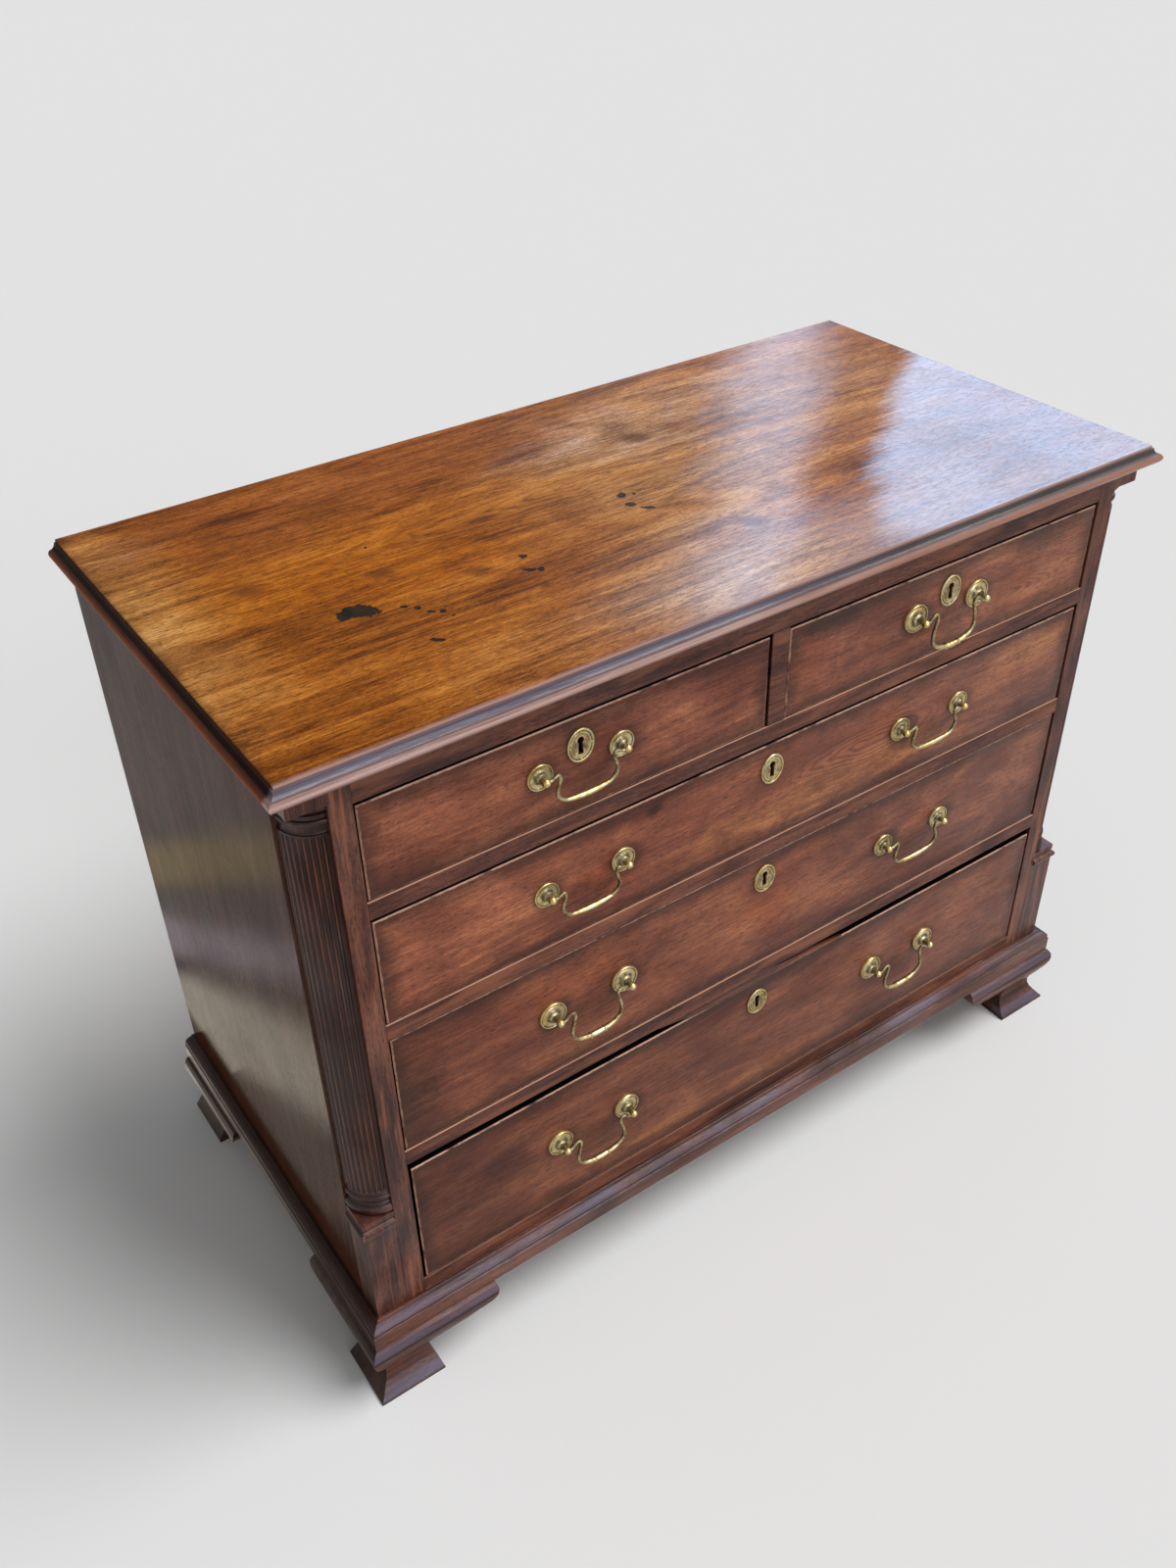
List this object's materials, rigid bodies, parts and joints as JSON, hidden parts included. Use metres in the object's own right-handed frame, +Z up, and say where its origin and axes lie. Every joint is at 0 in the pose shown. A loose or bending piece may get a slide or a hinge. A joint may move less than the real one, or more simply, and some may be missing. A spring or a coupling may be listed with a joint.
{
  "type": "chest of drawers",
  "caption": "Antique mahogany chest of drawers: short drawers over long ones, fluted quarter columns, ogee bracket feet and swinging brass bail handles.",
  "frame": {"origin": "on the floor under the middle of the chest's bounding box", "axes": "+Z up, the drawer fronts face -Y, +X to the right of someone facing the drawers"},
  "size_m": [1.097, 0.5404, 0.86],
  "materials": {
    "top": "old wax polish over honey brown mahogany, ink stained and faded",
    "mahogany": "waxed red-brown mahogany with worn edges",
    "drawer_front": "waxed figured mahogany",
    "case_side": "faded dark brown mahogany",
    "drawer_lining": "bare oak, darkened by age",
    "back": "bare softwood boards, darkened by age",
    "brass": "worn cast brass with dull patina"
  },
  "bodies": {
    "case": {"top_board": "top", "side_left": "case_side", "side_right": "case_side", "back_boards": "back", "case_bottom": "mahogany", "top_rail_with_divider": "mahogany", "drawer_rail_lower": "mahogany", "drawer_rail_middle": "mahogany", "drawer_rail_upper": "mahogany", "corner_post_left": "mahogany", "corner_post_right": "mahogany", "column_left": "mahogany", "column_right": "mahogany", "plinth_left": "mahogany", "plinth_right": "mahogany", "base_moulding_front": "mahogany", "base_moulding_left": "mahogany", "base_moulding_right": "mahogany", "foot_front_left": "mahogany", "foot_front_right": "mahogany", "foot_rear_left": "mahogany", "foot_rear_right": "mahogany"},
    "drawer_short_left": {"drawer_short_left_front": "drawer_front", "drawer_short_left_side_left": "drawer_lining", "drawer_short_left_side_right": "drawer_lining", "drawer_short_left_back": "drawer_lining", "drawer_short_left_bottom": "drawer_lining", "escutcheon_short_left": "brass"},
    "drawer_short_right": {"drawer_short_right_front": "drawer_front", "drawer_short_right_side_left": "drawer_lining", "drawer_short_right_side_right": "drawer_lining", "drawer_short_right_back": "drawer_lining", "drawer_short_right_bottom": "drawer_lining", "escutcheon_short_right": "brass"},
    "drawer_upper": {"drawer_upper_front": "drawer_front", "drawer_upper_side_left": "drawer_lining", "drawer_upper_side_right": "drawer_lining", "drawer_upper_back": "drawer_lining", "drawer_upper_bottom": "drawer_lining", "escutcheon_upper": "brass"},
    "drawer_middle": {"drawer_middle_front": "drawer_front", "drawer_middle_side_left": "drawer_lining", "drawer_middle_side_right": "drawer_lining", "drawer_middle_back": "drawer_lining", "drawer_middle_bottom": "drawer_lining", "escutcheon_middle": "brass"},
    "drawer_lower": {"drawer_lower_front": "drawer_front", "drawer_lower_side_left": "drawer_lining", "drawer_lower_side_right": "drawer_lining", "drawer_lower_back": "drawer_lining", "drawer_lower_bottom": "drawer_lining", "escutcheon_lower": "brass"},
    "bail_short_left": {"bail_short_left": "brass"},
    "bail_short_right": {"bail_short_right": "brass"},
    "bail_upper_left": {"bail_upper_left": "brass"},
    "bail_upper_right": {"bail_upper_right": "brass"},
    "bail_middle_left": {"bail_middle_left": "brass"},
    "bail_middle_right": {"bail_middle_right": "brass"},
    "bail_lower_left": {"bail_lower_left": "brass"},
    "bail_lower_right": {"bail_lower_right": "brass"}
  },
  "joints": [
    {"name": "slide_short_left", "type": "slide", "parent": "case", "child": "drawer_short_left", "axis": [0, -1, 0], "range_m": [0, 0.36]},
    {"name": "slide_short_right", "type": "slide", "parent": "case", "child": "drawer_short_right", "axis": [0, -1, 0], "range_m": [0, 0.36]},
    {"name": "slide_upper", "type": "slide", "parent": "case", "child": "drawer_upper", "axis": [0, -1, 0], "range_m": [0, 0.36]},
    {"name": "slide_middle", "type": "slide", "parent": "case", "child": "drawer_middle", "axis": [0, -1, 0], "range_m": [0, 0.36]},
    {"name": "slide_lower", "type": "slide", "parent": "case", "child": "drawer_lower", "axis": [0, -1, 0], "range_m": [0, 0.36]},
    {"name": "hinge_bail_short_left", "type": "hinge", "parent": "drawer_short_left", "child": "bail_short_left", "pos_m": [-0.2389, -0.25805, 0.75536], "axis": [-1, 0, 0], "range_deg": [-14, 190]},
    {"name": "hinge_bail_short_right", "type": "hinge", "parent": "drawer_short_right", "child": "bail_short_right", "pos_m": [0.2349, -0.26255, 0.75536], "axis": [-1, 0, 0], "range_deg": [-15, 192]},
    {"name": "hinge_bail_upper_left", "type": "hinge", "parent": "drawer_upper", "child": "bail_upper_left", "pos_m": [-0.238, -0.25805, 0.61425], "axis": [-1, 0, 0], "range_deg": [-14, 194]},
    {"name": "hinge_bail_upper_right", "type": "hinge", "parent": "drawer_upper", "child": "bail_upper_right", "pos_m": [0.2335, -0.25805, 0.61425], "axis": [-1, 0, 0], "range_deg": [-14, 194]},
    {"name": "hinge_bail_middle_left", "type": "hinge", "parent": "drawer_middle", "child": "bail_middle_left", "pos_m": [-0.238, -0.26255, 0.44977], "axis": [-1, 0, 0], "range_deg": [-15, 195]},
    {"name": "hinge_bail_middle_right", "type": "hinge", "parent": "drawer_middle", "child": "bail_middle_right", "pos_m": [0.2305, -0.25805, 0.44977], "axis": [-1, 0, 0], "range_deg": [-14, 194]},
    {"name": "hinge_bail_lower_left", "type": "hinge", "parent": "drawer_lower", "child": "bail_lower_left", "pos_m": [-0.2365, -0.26255, 0.2464], "axis": [-1, 0, 0], "range_deg": [-15, 195]},
    {"name": "hinge_bail_lower_right", "type": "hinge", "parent": "drawer_lower", "child": "bail_lower_right", "pos_m": [0.237, -0.26255, 0.2464], "axis": [-1, 0, 0], "range_deg": [-15, 195]}
  ]
}
